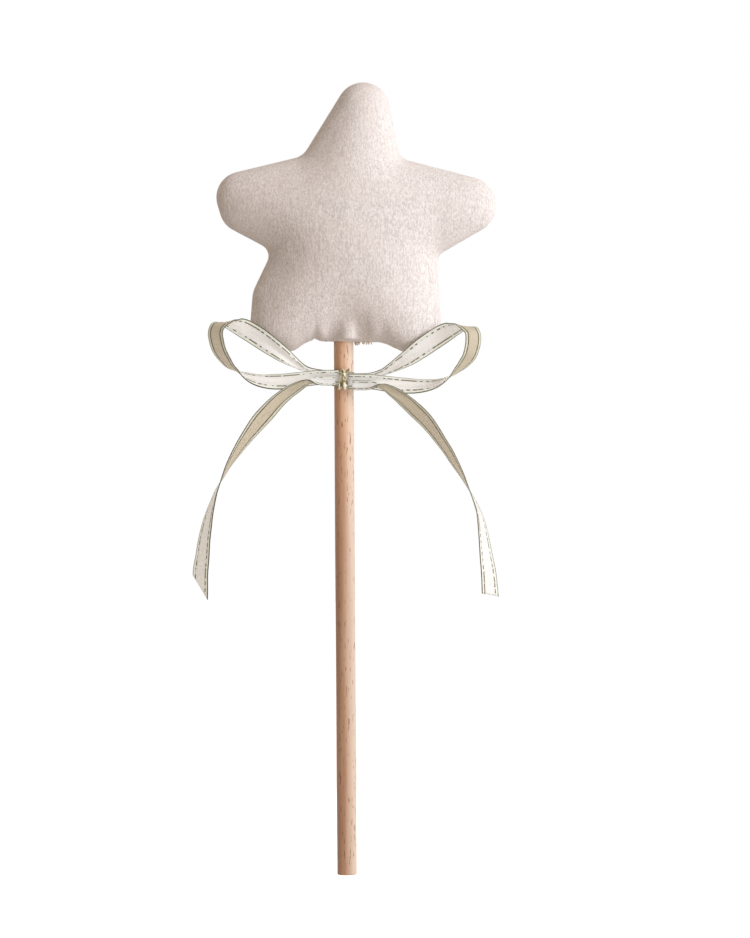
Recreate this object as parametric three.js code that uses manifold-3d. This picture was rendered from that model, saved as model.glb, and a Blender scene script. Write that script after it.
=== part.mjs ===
// Star wand rattle: a stuffed fabric star on a wooden dowel, with a ribbon bow tied below the star.
// Millimetres. +Z runs up the dowel and the front faces -Y. The origin is the middle of the dowel's low end.
import * as THREE from "three";
import { mergeVertices } from "three/addons/utils/BufferGeometryUtils.js";
import Module from "manifold-3d";

const wasm = await Module();
wasm.setup();

// Fit between pieces that touch
const FIT = 0.3;

// Facets of round pieces
const DOWEL_SIDES = 40;
const TURNED_SIDES = 32;
const SEAM_THREAD_SIDES = 4;
const CLOSING_THREAD_SIDES = 5;
const PELLET_SIDES = 10;
const PELLET_BANDS = 7;
const KNOT_CORNER_STEPS = 4;

// Dowel
const DOWEL_DIAMETER = 8;
const DOWEL_LENGTH = 262;
const DOWEL_SHARE_IN_STAR = 0.40123; // of the star's width
const DOWEL_END_ROUND = 0.6;

// Star: the corner circles of its outline, from the neck round by the right, seen from the front.
// Each has its place across and above the neck and its radius, as shares of the star's width,
// and the steps of its arc.
const STAR_WIDTH = 113.4;
const STAR_CORNERS = [
  { x: 0.0106, z: -0.5247, radius: 0.5291, valley: true, steps: 14 },
  { x: 0.2549, z: 0.0529, radius: 0.0944, valley: false, steps: 5 },
  { x: 0.3801, z: 0.2787, radius: 0.0441, valley: true, steps: 3 },
  { x: 0.4453, z: 0.4841, radius: 0.1023, valley: false, steps: 5 },
  { x: 0.2434, z: 0.6896, radius: 0.0441, valley: true, steps: 3 },
  { x: 0.075, z: 0.8307, radius: 0.0952, valley: false, steps: 5 },
  { x: -0.1869, z: 0.7266, radius: 0.0714, valley: true, steps: 3 },
  { x: -0.3598, z: 0.5176, radius: 0.0926, valley: false, steps: 4 },
  { x: -0.351, z: 0.4815, radius: 0.0908, valley: false, steps: 2 },
  { x: -0.3113, z: 0.3069, radius: 0.0441, valley: true, steps: 3 },
  { x: -0.216, z: 0.1499, radius: 0.1102, valley: false, steps: 2 },
  { x: -0.2416, z: 0.0591, radius: 0.0926, valley: false, steps: 4 },
];
const STAR_CENTRE = new THREE.Vector2(0.0291, 0.388).multiplyScalar(STAR_WIDTH);
const STAR_THICKNESS = 40;
const CROWN_POWER = 0.52;
const FABRIC_THICKNESS = 0.8;
const SEAM_ALLOWANCE = 5;
const SEAM_GAP = 0.3;
const SEAM_LINE = 2.1; // from the outline to the stitching
const SEAM_THREAD_DIAMETER = 0.45;
const STUFFING_GAP = 0.8;
const OUTER_RINGS = [0.22, 0.42, 0.6, 0.75, 0.87, 0.95, 0.985];
const INNER_RINGS = [0.3, 0.55, 0.75, 0.9, 0.97];

// Glue that holds the dowel in the neck
const GLUE_THICKNESS = 0.5;
const GLUE_LENGTH = 12;
const GLUE_INSET = 1.2;
const NECK_EASE = 0.7; // slack of the fabric round the glue

// Hand stitches that close the neck on both sides of the dowel
const CLOSING_THREAD_DIAMETER = 0.5;
const CLOSING_STITCHES = 5;
const CLOSING_LENGTH = 9;
const CLOSING_BITE = 1.3;
const CARRY_FROM = -30; // degrees round the dowel, over which the thread is carried
const CARRY_TO = -150;
const CARRY_STEP = 20;

// Rattle capsule: a cup and a lid that snap together, with pellets inside
const RATTLE_DIAMETER = 26;
const RATTLE_THICKNESS = 15;
const RATTLE_WALL = 1.5;
const RATTLE_ROUND = 3;
const RATTLE_ABOVE_DOWEL = 7.5;
const RATTLE_X = 5;
const LIP_HEIGHT = 1.8;
const LIP_THICKNESS = 0.6;
const PELLET_DIAMETER = 4.2;
const PELLET_LANE = 4.8;
const PELLET_ROW = 5.2;

// Ribbon bow
const BOW_WIDTH = 117.5; // between the ends of the tails
const RIBBON_WIDTH = 8.2;
const WRAP_SHARE = 0.76; // of the ribbon's width, gathered round the dowel
const RIBBON_THICKNESS = 0.4;
const BOW_DROP = 15.1; // from the neck to the middle of the knot
const KNOT_WIDTH = 3.2;
const KNOT_HEIGHT = 7.7;
const KNOT_DEPTH = 3.9;
const KNOT_ROUND = 1.2;
const KNOT_LOW = 0.45; // the knot's middle below the band's middle
const STRAND_STEPS = 3; // sections from one station of a strand to the next

// Stations of the ribbon's strands, from the knot outwards. Each has its place across the knot, in front of
// the wrap and above the knot, as shares of the bow's width. Then come its roll in degrees about its own line
// and the share of the ribbon's width that shows ungathered.
const LOOP_LEFT = [
  [-0.0179, 0.0162, 0.0034, -90, 0.72],
  [-0.0894, 0.0162, 0.0026, -90, 0.72],
  [-0.1515, 0.0162, -0.0043, -84, 0.75],
  [-0.2204, 0.0162, -0.0102, -66, 0.82],
  [-0.2826, 0.0204, -0.0077, -42, 0.92],
  [-0.3311, 0.0272, 0.006, -20, 1],
  [-0.3677, 0.0391, 0.0247, 3, 1],
  [-0.3881, 0.0536, 0.04, 17, 1],
  [-0.4077, 0.0715, 0.0655, 28, 1],
  [-0.4255, 0.0911, 0.0979, 38, 1],
  [-0.4332, 0.1055, 0.126, 44, 1],
  [-0.4366, 0.1132, 0.154, 48, 1],
  [-0.4315, 0.1132, 0.1745, 46, 1],
  [-0.4179, 0.1038, 0.1881, 25, 1],
  [-0.3974, 0.0791, 0.194, -7, 1],
  [-0.3719, 0.0545, 0.1855, -41, 1],
  [-0.3387, 0.0451, 0.1711, -74, 1],
  [-0.2936, 0.0485, 0.143, -80, 1],
  [-0.2528, 0.0528, 0.114, -78, 0.95],
  [-0.2094, 0.0477, 0.0826, -80, 0.8],
  [-0.1762, 0.0323, 0.0587, -72, 0.56],
  [-0.1481, 0.0179, 0.0409, -52, 0.4],
  [-0.1226, 0.0094, 0.0281, -42, 0.33],
  [-0.0817, 0.0068, 0.0179, -65, 0.33],
  [-0.0179, 0.0068, 0.0162, -82, 0.36],
];
const LOOP_RIGHT = [
  [0.0179, 0.0162, -0.0111, 90, 0.72],
  [0.0902, 0.0162, -0.0128, 90, 0.72],
  [0.1421, 0.0162, -0.0196, 84, 0.75],
  [0.2009, 0.0162, -0.0264, 66, 0.82],
  [0.263, 0.0204, -0.0289, 44, 0.9],
  [0.3217, 0.0272, -0.0204, 22, 1],
  [0.366, 0.0391, 0.0009, 0, 1],
  [0.3923, 0.0536, 0.023, -15, 1],
  [0.4128, 0.0698, 0.0443, -25, 1],
  [0.4315, 0.0885, 0.0706, -36, 1],
  [0.44, 0.1021, 0.0953, -44, 1],
  [0.4443, 0.1106, 0.12, -49, 1],
  [0.4443, 0.114, 0.1404, -51, 1],
  [0.44, 0.1115, 0.1557, -44, 1],
  [0.4264, 0.1004, 0.1685, -23, 1],
  [0.4034, 0.0783, 0.1753, 8, 1],
  [0.377, 0.0562, 0.1668, 43, 1],
  [0.3464, 0.0477, 0.1515, 72, 1],
  [0.3081, 0.0494, 0.1277, 80, 1],
  [0.2655, 0.0536, 0.0987, 78, 0.98],
  [0.2238, 0.0485, 0.0689, 80, 0.82],
  [0.1872, 0.034, 0.0468, 76, 0.64],
  [0.1566, 0.0187, 0.0298, 60, 0.44],
  [0.1311, 0.0102, 0.0179, 44, 0.33],
  [0.0911, 0.0068, 0.006, 65, 0.33],
  [0.0179, 0.0068, 0.0043, 82, 0.36],
];
const TAIL_LEFT = [
  [-0.0289, 0.0264, -0.0085, -90, 0.48],
  [-0.0715, 0.0281, -0.0085, -90, 0.47],
  [-0.0987, 0.0357, -0.0077, -72, 0.4],
  [-0.1183, 0.0409, -0.0111, 15, 0.36],
  [-0.1379, 0.0426, -0.0187, 66, 0.46],
  [-0.1634, 0.0426, -0.0323, 74, 0.66],
  [-0.1923, 0.0426, -0.0502, 72, 0.82],
  [-0.2281, 0.0443, -0.0791, 68, 0.93],
  [-0.2621, 0.0451, -0.1149, 66, 1],
  [-0.2902, 0.0451, -0.1455, 64, 1],
  [-0.3183, 0.0443, -0.1804, 50, 1],
  [-0.3464, 0.0434, -0.2179, 34, 1],
  [-0.3719, 0.0426, -0.2562, 23, 1],
  [-0.3966, 0.0409, -0.297, 13, 1],
  [-0.4213, 0.0383, -0.3455, 2, 1],
  [-0.4426, 0.0357, -0.3872, -6, 1],
  [-0.4562, 0.034, -0.4247, -11, 1],
  [-0.4689, 0.0323, -0.463, -18, 1],
  [-0.4791, 0.0306, -0.5038, -25, 1],
  [-0.4885, 0.0289, -0.5557, -32, 1],
  [-0.4936, 0.0272, -0.6077, -40, 1],
  [-0.4996, 0.0264, -0.6596, -46, 1],
  [-0.5013, 0.0255, -0.7166, -50, 1],
];
const TAIL_RIGHT = [
  [0.0289, 0.0264, -0.0247, 90, 0.48],
  [0.0732, 0.0281, -0.0255, 90, 0.47],
  [0.0996, 0.0357, -0.023, 72, 0.4],
  [0.1191, 0.0409, -0.0247, -15, 0.36],
  [0.1379, 0.0426, -0.0306, -66, 0.46],
  [0.1617, 0.0426, -0.0443, -74, 0.66],
  [0.1872, 0.0426, -0.0613, -72, 0.82],
  [0.2179, 0.0443, -0.0868, -68, 0.93],
  [0.2485, 0.0451, -0.1149, -62, 1],
  [0.28, 0.0451, -0.1464, -47, 1],
  [0.3072, 0.0443, -0.1813, -38, 1],
  [0.3328, 0.0434, -0.2187, -30, 1],
  [0.3566, 0.0426, -0.2536, -25, 1],
  [0.3787, 0.0409, -0.2919, -20, 1],
  [0.4026, 0.0383, -0.3336, -12, 1],
  [0.423, 0.0357, -0.3753, -2, 1],
  [0.4443, 0.034, -0.4204, 6, 1],
  [0.4604, 0.0323, -0.4621, 13, 1],
  [0.4706, 0.0306, -0.5072, 23, 1],
  [0.4791, 0.0289, -0.5626, 33, 1],
  [0.486, 0.0272, -0.6179, 41, 1],
  [0.4936, 0.0264, -0.6732, 48, 1],
  [0.4987, 0.0255, -0.7489, 56, 1],
];
const TAIL_CUT_LEFT = -9.5; // how much longer one edge of the cut end is than the other
const TAIL_CUT_RIGHT = 2;
const TAIL_CUT_SECTIONS = 6; // sections over which the ends run out to the cut

// Places and radii that follow from the sizes above
const DOWEL_RADIUS = DOWEL_DIAMETER / 2;
const DOWEL_IN_STAR = DOWEL_SHARE_IN_STAR * STAR_WIDTH;
const NECK_Z = DOWEL_LENGTH - DOWEL_IN_STAR;
const GLUE_INNER = DOWEL_RADIUS + FIT;
const GLUE_OUTER = GLUE_INNER + GLUE_THICKNESS;
const NECK_RADIUS = GLUE_OUTER + NECK_EASE;
const HEM_RADIUS = NECK_RADIUS + FABRIC_THICKNESS;
const LINING_RADIUS = HEM_RADIUS + FIT;
const SLEEVE_RADIUS = LINING_RADIUS + FABRIC_THICKNESS;
const SLEEVE_HEIGHT = SEAM_ALLOWANCE + SLEEVE_RADIUS;
const CROWN = STAR_THICKNESS / 2 - SEAM_GAP / 2;
const HEM_FACE = SEAM_GAP / 2 + FABRIC_THICKNESS;
const SEAM_THREAD_DEPTH = HEM_FACE + FIT + SEAM_THREAD_DIAMETER / 2;
const STUFFING_EDGE_DEPTH = SEAM_THREAD_DEPTH + SEAM_THREAD_DIAMETER / 2 + FIT;
const STUFFING_INSET = SEAM_LINE + SEAM_THREAD_DIAMETER / 2 + FIT;
const RATTLE_RADIUS = RATTLE_DIAMETER / 2;
const RATTLE_INNER = RATTLE_RADIUS - RATTLE_WALL;
const RATTLE_Z = DOWEL_IN_STAR + RATTLE_ABOVE_DOWEL + RATTLE_RADIUS;
const PELLET_RADIUS = PELLET_DIAMETER / 2;
const WRAP_INNER = DOWEL_RADIUS + FIT;
const WRAP_OUTER = WRAP_INNER + RIBBON_THICKNESS;

// Corners nearer than this are one corner, and squared distances below the least one count as it
const CORNER_TOLERANCE = 1e-4;
const LEAST_SQUARE = 1e-6;

// Materials
function material(color, roughness) {
  return new THREE.MeshStandardMaterial({ color, roughness, metalness: 0 });
}
const BEECH = material(0xd9b48f, 0.65);
const LINEN = material(0xe6dcd3, 0.95);
const FIBREFILL = material(0xf4f2ee, 1);
const THREAD = material(0xe9dfd0, 0.8);
const GLUE = material(0xefe6c8, 0.5);
const WHITE_PLASTIC = material(0xf0efec, 0.4);
const PELLET_PLASTIC = material(0xd8d8d6, 0.35);
const RIBBON = material(0xf1e9d8, 0.7);

// Closed triangle mesh with its faces pointing out
function closedGeometry(positions, triangles) {
  const corner = (index) => new THREE.Vector3().fromArray(positions, 3 * index);
  const faces = [];
  let volume = 0;
  for (let i = 0; i < triangles.length; i += 3) {
    const [a, b, c] = triangles.slice(i, i + 3);
    if (a !== b && b !== c && c !== a) {
      faces.push(a, b, c);
      volume += corner(a).dot(corner(b).cross(corner(c)));
    }
  }
  const geometry = new THREE.BufferGeometry();
  geometry.setAttribute("position", new THREE.Float32BufferAttribute(positions, 3));
  geometry.setIndex(volume < 0 ? faces.reverse() : faces);
  geometry.computeVertexNormals();
  return geometry;
}

// The same for a shape from a geometry class, with its shared corners joined
function joined(shape) {
  shape.deleteAttribute("normal");
  shape.deleteAttribute("uv");
  const merged = mergeVertices(shape, CORNER_TOLERANCE);
  return closedGeometry(Array.from(merged.attributes.position.array), Array.from(merged.index.array));
}

// Skin over a row of rings with equal counts of points. A ring of one point is a pole.
// The diagonals of the first half of a ring mirror those of the second half.
function ringSolid(rings) {
  const positions = [];
  const starts = [];
  for (const ring of rings) {
    starts.push(positions.length / 3);
    ring.forEach((point) => positions.push(...point.toArray()));
  }
  const triangles = [];
  for (let k = 0; k + 1 < rings.length; k++) {
    const count = Math.max(rings[k].length, rings[k + 1].length);
    for (let i = 0; i < count; i++) {
      const next = (i + 1) % count;
      const a = starts[k] + (i % rings[k].length);
      const b = starts[k] + (next % rings[k].length);
      const c = starts[k + 1] + (i % rings[k + 1].length);
      const d = starts[k + 1] + (next % rings[k + 1].length);
      triangles.push(...(next <= count / 2 && next > 0 ? [a, b, d, a, d, c] : [a, b, c, b, d, c]));
    }
  }
  return closedGeometry(positions, triangles);
}

function cut(geometry, ...tools) {
  const solid = (shape) =>
    new wasm.Manifold(
      new wasm.Mesh({
        numProp: 3,
        vertProperties: Float32Array.from(shape.attributes.position.array),
        triVerts: Uint32Array.from(shape.index.array),
      }),
    );
  const result = tools.reduce((left, tool) => left.subtract(solid(tool)), solid(geometry)).getMesh();
  return closedGeometry(Array.from(result.vertProperties), Array.from(result.triVerts));
}

// Solid turned about the dowel's line from a profile of [radius, height]
function turned(profile, segments) {
  const points = profile.map(([radius, height]) => new THREE.Vector2(radius, height));
  return joined(new THREE.LatheGeometry(points, segments).rotateX(Math.PI / 2));
}

function post(radius, bottom, top) {
  return turned([[0, bottom], [radius, bottom], [radius, top], [0, top]], TURNED_SIDES);
}

function tube(points, diameter, steps, sides) {
  const section = new THREE.Shape();
  for (let i = 0; i < sides; i++) {
    const angle = (2 * Math.PI * i) / sides;
    const corner = [(diameter / 2) * Math.cos(angle), (diameter / 2) * Math.sin(angle)];
    if (i === 0) section.moveTo(...corner);
    else section.lineTo(...corner);
  }
  const extrudePath = new THREE.CatmullRomCurve3(points);
  return joined(new THREE.ExtrudeGeometry(section, { steps, extrudePath, bevelEnabled: false }));
}

// Star outline: arcs about the corner circles, joined by straight flanks, drawn in by an inset
function starOutline(inset) {
  const circles = STAR_CORNERS.map(({ x, z, radius, valley, steps }) => ({
    centre: new THREE.Vector2(x, z).multiplyScalar(STAR_WIDTH),
    turn: valley ? -(radius * STAR_WIDTH + inset) : radius * STAR_WIDTH - inset,
    steps,
  }));
  const headings = circles.map((circle, i) => {
    const next = circles[(i + 1) % circles.length];
    const across = next.centre.clone().sub(circle.centre);
    return across.angle() - Math.asin((next.turn - circle.turn) / across.length());
  });
  const onCircle = ({ centre, turn }, heading) =>
    new THREE.Vector2(Math.sin(heading), -Math.cos(heading)).multiplyScalar(turn).add(centre);
  const points = [];
  circles.forEach((circle, i) => {
    const from = headings[(i + circles.length - 1) % circles.length];
    let sweep = THREE.MathUtils.euclideanModulo(headings[i] - from, 2 * Math.PI);
    if (circle.turn < 0) sweep -= 2 * Math.PI;
    for (let k = 0; k <= circle.steps; k++) {
      points.push(onCircle(circle, from + (sweep * k) / circle.steps));
    }
    const next = circles[(i + 1) % circles.length];
    points.push(points.at(-1).clone().lerp(onCircle(next, headings[i]), 0.5));
  });
  return points;
}

// Soft distance from a point to an outline: the true distance near an edge, smooth across the middle
function swell(point, outline) {
  let nearness = 0;
  outline.forEach((from, i) => {
    const to = outline[(i + 1) % outline.length];
    const along = to.clone().sub(from);
    const length = along.length();
    along.divideScalar(length);
    const start = from.clone().sub(point);
    const first = start.dot(along);
    const last = first + length;
    const away = Math.max(start.cross(along) ** 2, LEAST_SQUARE);
    nearness += (last / Math.sqrt(last ** 2 + away) - first / Math.sqrt(first ** 2 + away)) / away;
  });
  return Math.sqrt(2 / nearness);
}

// Height of a stuffed face above the seam plane, inside an outline
function crown(point, outline, height) {
  return height * (swell(point, outline) / swell(STAR_CENTRE, outline)) ** CROWN_POWER;
}

// Height of fabric that wraps round the dowel at the neck
function sleeve(point, radius) {
  if (point.y > SLEEVE_HEIGHT || Math.abs(point.x) >= radius) return 0;
  return Math.sqrt(radius ** 2 - point.x ** 2);
}

function ringAt(outline, share) {
  return outline.map((point) => STAR_CENTRE.clone().lerp(point, share));
}

// Points of a ring lifted off the seam plane, forwards where side is -1 and backwards where it is 1
function lifted(ring, side, depth) {
  return ring.map((point) => new THREE.Vector3(point.x, side * depth(point), point.y));
}

const RIM = starOutline(0);
const LINING = starOutline(FABRIC_THICKNESS);
const HEM = starOutline(SEAM_ALLOWANCE);
const STUFFING_RIM = starOutline(STUFFING_INSET);
const STUFFING_STEP = starOutline(SEAM_ALLOWANCE + FIT);
const SEAM = starOutline(SEAM_LINE);

function outerDepth(point) {
  return Math.max(SEAM_GAP / 2 + crown(point, RIM, CROWN), sleeve(point, SLEEVE_RADIUS));
}

function liningDepth(point) {
  const face = SEAM_GAP / 2 + crown(point, LINING, CROWN - FABRIC_THICKNESS);
  return Math.max(face, HEM_FACE, sleeve(point, LINING_RADIUS));
}

// Fabric panel: a domed face, a rim at the seam and a seam allowance turned in behind it
function panel(side) {
  const hemFront = (point) => Math.max(SEAM_GAP / 2, sleeve(point, NECK_RADIUS));
  const hemBack = (point) => Math.max(HEM_FACE, sleeve(point, HEM_RADIUS));
  return ringSolid([
    lifted([STAR_CENTRE], side, outerDepth),
    ...OUTER_RINGS.map((share) => lifted(ringAt(RIM, share), side, outerDepth)),
    lifted(RIM, side, hemFront),
    lifted(HEM, side, hemFront),
    lifted(HEM, side, hemBack),
    lifted(LINING, side, hemBack),
    ...INNER_RINGS.toReversed().map((share) => lifted(ringAt(LINING, share), side, liningDepth)),
    lifted([STAR_CENTRE], side, liningDepth),
  ]);
}

// Half of the stuffing, stepped over the seam allowance and cut for the dowel and the rattle
function stuffing(side) {
  const face = (point) => liningDepth(point) - STUFFING_GAP;
  const overHem = () => STUFFING_EDGE_DEPTH;
  const parting = () => SEAM_GAP / 2;
  const wad = ringSolid([
    lifted([STAR_CENTRE], side, face),
    ...INNER_RINGS.map((share) => lifted(ringAt(STUFFING_RIM, share), side, face)),
    lifted(STUFFING_RIM, side, face),
    lifted(STUFFING_RIM, side, overHem),
    lifted(STUFFING_STEP, side, overHem),
    lifted(STUFFING_STEP, side, parting),
    lifted([STAR_CENTRE], side, parting),
  ]);
  const below = -STAR_THICKNESS;
  const pocket = rattleTurned([
    [0, -RATTLE_THICKNESS / 2 - FIT],
    ...roundedCorner(RATTLE_RADIUS + FIT, -RATTLE_THICKNESS / 2 - FIT, RATTLE_ROUND).toReversed(),
    ...roundedCorner(RATTLE_RADIUS + FIT, RATTLE_THICKNESS / 2 + FIT, RATTLE_ROUND),
    [0, RATTLE_THICKNESS / 2 + FIT],
  ]);
  return cut(
    wad,
    post(HEM_RADIUS + NECK_EASE, below, SEAM_ALLOWANCE + NECK_EASE),
    post(GLUE_OUTER + FIT, below, GLUE_INSET + GLUE_LENGTH + FIT),
    post(DOWEL_RADIUS + FIT, below, DOWEL_IN_STAR + FIT),
    pocket.translate(RATTLE_X, 0, RATTLE_Z),
  );
}

function seamThread(side) {
  const stitched = SEAM.filter((point) => sleeve(point, SLEEVE_RADIUS) === 0);
  const first = stitched.findIndex((point) => point.x > 0);
  const path = [...stitched.slice(first), ...stitched.slice(0, first)];
  const points = path.map((point) => new THREE.Vector3(point.x, side * SEAM_THREAD_DEPTH, point.y));
  return tube(points, SEAM_THREAD_DIAMETER, points.length, SEAM_THREAD_SIDES);
}

// Whip stitches over the seam on both sides of the dowel, with the thread carried round its front
function closingThread() {
  const under = FIT + CLOSING_THREAD_DIAMETER / 2;
  const [neckArc] = STAR_CORNERS;
  const rimHeight = (x) =>
    STAR_WIDTH * (neckArc.z + Math.sqrt(neckArc.radius ** 2 - (x / STAR_WIDTH - neckArc.x) ** 2));
  const stitches = (side) => {
    const points = [];
    for (let i = 0; i <= 2 * CLOSING_STITCHES; i++) {
      const x = side * (SLEEVE_RADIUS + (CLOSING_LENGTH * i) / (2 * CLOSING_STITCHES));
      const y = i % 2 === 0 ? -CLOSING_BITE : CLOSING_BITE;
      points.push(new THREE.Vector3(x, y, rimHeight(x) - under));
    }
    return points;
  };
  const carry = DOWEL_RADIUS + FIT + CLOSING_THREAD_DIAMETER / 2;
  const round = [];
  for (let angle = CARRY_FROM; angle >= CARRY_TO; angle -= CARRY_STEP) {
    const turn = THREE.MathUtils.degToRad(angle);
    round.push(new THREE.Vector3(carry * Math.cos(turn), carry * Math.sin(turn), -under));
  }
  const path = [...stitches(1).toReversed(), ...round, ...stitches(-1)];
  return tube(path, CLOSING_THREAD_DIAMETER, 2 * path.length, CLOSING_THREAD_SIDES);
}

// Solid turned about the rattle's own line, which runs from front to back
function rattleTurned(profile) {
  const points = profile.map(([radius, depth]) => new THREE.Vector2(radius, depth));
  return joined(new THREE.LatheGeometry(points, TURNED_SIDES));
}

// Quarter round from a flat face at a depth to a side wall at a radius
function roundedCorner(radius, depth, round) {
  const inward = Math.sign(depth) * round;
  return [90, 60, 30, 0].map((angle) => {
    const turn = THREE.MathUtils.degToRad(angle);
    return [radius - round + round * Math.cos(turn), depth - inward + inward * Math.sin(turn)];
  }).toReversed();
}

// One half of the rattle from its rim profile, running from the outer wall to the inner wall
function rattleShell(side, rim) {
  const outside = side * (RATTLE_THICKNESS / 2);
  const inside = side * (RATTLE_THICKNESS / 2 - RATTLE_WALL);
  return rattleTurned([
    [0, outside],
    ...roundedCorner(RATTLE_RADIUS, outside, RATTLE_ROUND).toReversed(),
    ...rim.map(([radius, depth]) => [radius, side * depth]),
    ...roundedCorner(RATTLE_INNER, inside, RATTLE_ROUND - RATTLE_WALL),
    [0, inside],
  ]);
}

function rattleLid() {
  const rebate = RATTLE_INNER + LIP_THICKNESS + FIT;
  return rattleShell(-1, [
    [RATTLE_RADIUS, FIT / 2],
    [rebate, FIT / 2],
    [rebate, LIP_HEIGHT + FIT],
    [RATTLE_INNER, LIP_HEIGHT + FIT],
  ]);
}

function rattleCup() {
  const lip = RATTLE_INNER + LIP_THICKNESS;
  return rattleShell(1, [
    [RATTLE_RADIUS, FIT / 2],
    [lip, FIT / 2],
    [lip, -LIP_HEIGHT],
    [RATTLE_INNER, -LIP_HEIGHT],
  ]);
}

// Flat strip along stations, rolled about its own line. The slant makes one edge of its far end longer.
function strand(stations, slant = 0) {
  const wrapFront = new THREE.Vector3(0, -WRAP_OUTER, 0);
  const line = new THREE.CatmullRomCurve3(
    stations.map(([x, ahead, z]) => new THREE.Vector3(x, -ahead, z).multiplyScalar(BOW_WIDTH).add(wrapFront)),
  );
  const last = stations.length - 1;
  const count = last * STRAND_STEPS;
  const back = new THREE.Vector3(0, 1, 0);
  const sections = [];
  for (let k = 0; k <= count; k++) {
    const place = (k / count) * last;
    const from = Math.min(Math.floor(place), last - 1);
    const blend = (index) =>
      THREE.MathUtils.lerp(stations[from][index], stations[from + 1][index], place - from);
    const roll = THREE.MathUtils.degToRad(blend(3));
    const tangent = line.getTangent(k / count);
    const side = tangent.clone().cross(back).normalize();
    const across = back.clone().multiplyScalar(Math.cos(roll)).addScaledVector(side, Math.sin(roll));
    across.addScaledVector(tangent, -across.dot(tangent)).normalize();
    const normal = tangent.clone().cross(across);
    const half = (RIBBON_WIDTH * blend(4)) / 2;
    const lean = (slant / 2) * Math.max(0, 1 - (count - k) / TAIL_CUT_SECTIONS);
    const corners = [[1, 1], [1, -1], [-1, -1], [-1, 1]].map(([edge, face]) =>
      line
        .getPoint(k / count)
        .addScaledVector(across, edge * half)
        .addScaledVector(tangent, edge * lean)
        .addScaledVector(normal, (face * RIBBON_THICKNESS) / 2),
    );
    sections.push(corners);
  }
  return ringSolid([[line.getPoint(0)], ...sections, [line.getPoint(1)]]);
}

function knot() {
  const round = new THREE.Shape();
  const x = KNOT_WIDTH / 2 - KNOT_ROUND;
  const z = KNOT_HEIGHT / 2 - KNOT_ROUND;
  round.absarc(x, z, KNOT_ROUND, 0, Math.PI / 2);
  round.absarc(-x, z, KNOT_ROUND, Math.PI / 2, Math.PI);
  round.absarc(-x, -z, KNOT_ROUND, Math.PI, 1.5 * Math.PI);
  round.absarc(x, -z, KNOT_ROUND, 1.5 * Math.PI, 2 * Math.PI);
  const lump = new THREE.ExtrudeGeometry(round, {
    depth: KNOT_DEPTH,
    curveSegments: KNOT_CORNER_STEPS,
    bevelEnabled: false,
  });
  return joined(lump.rotateX(Math.PI / 2)).translate(0, -WRAP_OUTER - FIT, -KNOT_LOW);
}

function wrap() {
  const half = (RIBBON_WIDTH * WRAP_SHARE) / 2;
  return turned(
    [
      [WRAP_INNER, -half],
      [WRAP_OUTER, -half],
      [WRAP_OUTER, half],
      [WRAP_INNER, half],
      [WRAP_INNER, -half],
    ],
    TURNED_SIDES,
  );
}

function named(name, geometry, finish) {
  const mesh = new THREE.Mesh(geometry, finish);
  mesh.name = name;
  return mesh;
}

// Assembly
const wand = new THREE.Group();
const star = new THREE.Group();
star.position.z = NECK_Z;
const rattle = new THREE.Group();
rattle.position.set(RATTLE_X, 0, RATTLE_Z);
const bow = new THREE.Group();
bow.position.z = -BOW_DROP;
wand.add(star);
star.add(rattle, bow);

wand.add(
  named(
    "dowel",
    turned(
      [
        [0, 0],
        [DOWEL_RADIUS - DOWEL_END_ROUND, 0],
        [DOWEL_RADIUS, DOWEL_END_ROUND],
        [DOWEL_RADIUS, DOWEL_LENGTH - DOWEL_END_ROUND],
        [DOWEL_RADIUS - DOWEL_END_ROUND, DOWEL_LENGTH],
        [0, DOWEL_LENGTH],
      ],
      DOWEL_SIDES,
    ),
    BEECH,
  ),
);

star.add(
  named("star_front_panel", panel(-1), LINEN),
  named("star_back_panel", panel(1), LINEN),
  named("stuffing_front", stuffing(-1), FIBREFILL),
  named("stuffing_back", stuffing(1), FIBREFILL),
  named("seam_needle_thread", seamThread(-1), THREAD),
  named("seam_bobbin_thread", seamThread(1), THREAD),
  named("closing_thread", closingThread(), THREAD),
  named(
    "neck_glue",
    turned(
      [
        [GLUE_INNER, GLUE_INSET],
        [GLUE_OUTER, GLUE_INSET],
        [GLUE_OUTER, GLUE_INSET + GLUE_LENGTH],
        [GLUE_INNER, GLUE_INSET + GLUE_LENGTH],
        [GLUE_INNER, GLUE_INSET],
      ],
      TURNED_SIDES,
    ),
    GLUE,
  ),
);

rattle.add(named("rattle_lid", rattleLid(), WHITE_PLASTIC), named("rattle_cup", rattleCup(), WHITE_PLASTIC));

// Each pellet has a lane of its own and lies at the bottom of the capsule
const PELLET_REACH = RATTLE_INNER - FIT - PELLET_RADIUS;
let pelletNumber = 0;
for (const row of [-PELLET_ROW / 2, PELLET_ROW / 2]) {
  for (const lane of [-PELLET_LANE, 0, PELLET_LANE]) {
    pelletNumber += 1;
    const pellet = named(
      `rattle_pellet_${pelletNumber}`,
      joined(new THREE.SphereGeometry(PELLET_RADIUS, PELLET_SIDES, PELLET_BANDS)),
      PELLET_PLASTIC,
    );
    pellet.position.set(lane, row, -Math.sqrt(PELLET_REACH ** 2 - lane ** 2));
    rattle.add(pellet);
  }
}

bow.add(
  named("ribbon_wrap", wrap(), RIBBON),
  named("ribbon_knot", knot(), RIBBON),
  named("ribbon_loop_left", strand(LOOP_LEFT), RIBBON),
  named("ribbon_loop_right", strand(LOOP_RIGHT), RIBBON),
  named("ribbon_tail_left", strand(TAIL_LEFT, TAIL_CUT_LEFT), RIBBON),
  named("ribbon_tail_right", strand(TAIL_RIGHT, TAIL_CUT_RIGHT), RIBBON),
);

export default wand;
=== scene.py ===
import math

import bpy
import numpy as np
from mathutils import Matrix, Vector, kdtree, noise


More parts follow.
